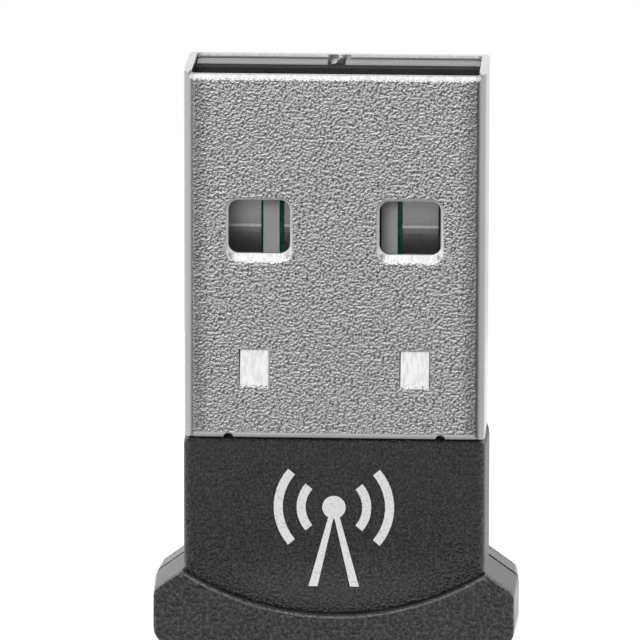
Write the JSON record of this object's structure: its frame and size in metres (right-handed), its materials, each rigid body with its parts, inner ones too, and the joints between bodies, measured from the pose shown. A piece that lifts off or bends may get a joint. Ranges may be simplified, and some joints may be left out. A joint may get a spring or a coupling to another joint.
{
  "type": "usb bluetooth adapter",
  "caption": "Short wireless adapter: a folded steel USB type A plug shell with latch windows in a small black two-part housing with sloping shoulders.",
  "frame": {"origin": "middle of the flat end that it stands on, the housing's grip end", "axes": "+Z from the grip end to the plug's mouth, -Y out of the front face that the picture shows, +X to the right of that face"},
  "size_m": [0.0146, 0.0054, 0.0233],
  "materials": {
    "shell_steel": "orange-peel rolled steel, satin",
    "grey_plastic": "smooth light grey moulding",
    "board_green": "green solder mask",
    "contact_metal": "tinned, satin",
    "solder": "bright solder",
    "chip_black": "moulded epoxy",
    "can_metal": "nickel plate",
    "filter_ceramic": "grey ceramic",
    "ferrite": "matt ferrite",
    "capacitor_ceramic": "tan ceramic with tinned ends",
    "resistor_ceramic": "black glaze with tinned ends",
    "copper_track": "copper under clear mask",
    "housing_black": "fine spark-eroded texture",
    "ink_grey": "pad-printed ink"
  },
  "bodies": {
    "root": {"usb_shell": "shell_steel", "insulator": "grey_plastic", "circuit_board": "board_green", "contact_power": "contact_metal", "contact_data_minus": "contact_metal", "contact_data_plus": "contact_metal", "contact_ground": "contact_metal", "contact_solder": "solder", "radio_chip": "chip_black", "radio_chip_pads": "solder", "crystal": "can_metal", "memory_chip": "chip_black", "voltage_regulator": "chip_black", "regulator_leads": "solder", "surge_protector": "chip_black", "radio_filter": "filter_ceramic", "ferrite_bead": "ferrite", "capacitors": "capacitor_ceramic", "resistors": "resistor_ceramic", "printed_aerial": "copper_track", "front_cover": "housing_black", "back_cover": "housing_black", "printed_mark": "ink_grey"}
  },
  "joints": []
}
